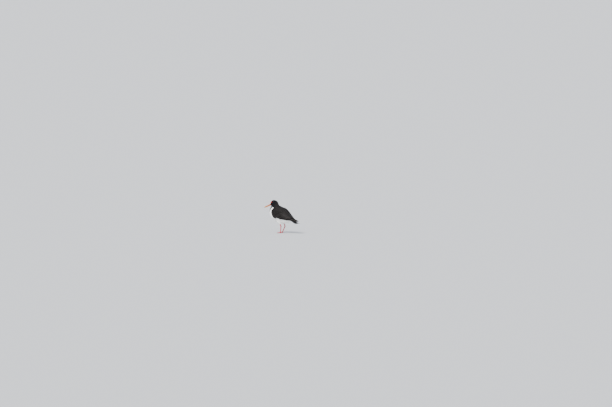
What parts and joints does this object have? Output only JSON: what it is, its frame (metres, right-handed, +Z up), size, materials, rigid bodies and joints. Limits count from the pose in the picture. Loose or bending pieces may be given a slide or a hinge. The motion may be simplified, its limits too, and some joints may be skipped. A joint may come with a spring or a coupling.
{
  "type": "oystercatcher",
  "caption": "Life-size standing wading bird with a straight bill, folded wings, short tail and bare legs, as a still museum model.",
  "frame": {"origin": "on the floor, under the middle of the bird's box", "axes": "+Z up, the bill points towards -Y, the bird's left side is +X"},
  "size_m": [0.1166, 0.3602, 0.2624],
  "materials": {
    "black_plumage": "soft black feathers with a faint blue sheen",
    "pied_plumage": "soft white feathers, black above the breast line and on the back",
    "wing_plumage": "brownish black feathers, slightly glossy",
    "bill": "smooth horn, orange red at the root and yellower at the tip",
    "eye": "wet red iris round a black pupil",
    "eye_ring": "bare orange red skin",
    "leg_skin": "scaly salmon pink skin",
    "claw": "dark horn"
  },
  "bodies": {
    "root": {"head": "black_plumage", "neck": "black_plumage", "torso": "pied_plumage", "upper_bill": "bill", "lower_bill": "bill", "tail": "wing_plumage", "left_eye": "eye", "left_eye_ring": "eye_ring", "left_wing": "wing_plumage", "left_thigh": "pied_plumage", "left_leg": "leg_skin", "left_inner_toe": "leg_skin", "left_inner_claw": "claw", "left_middle_toe": "leg_skin", "left_middle_claw": "claw", "left_outer_toe": "leg_skin", "left_outer_claw": "claw", "right_eye": "eye", "right_eye_ring": "eye_ring", "right_wing": "wing_plumage", "right_thigh": "pied_plumage", "right_leg": "leg_skin", "right_inner_toe": "leg_skin", "right_inner_claw": "claw", "right_middle_toe": "leg_skin", "right_middle_claw": "claw", "right_outer_toe": "leg_skin", "right_outer_claw": "claw"}
  },
  "joints": []
}
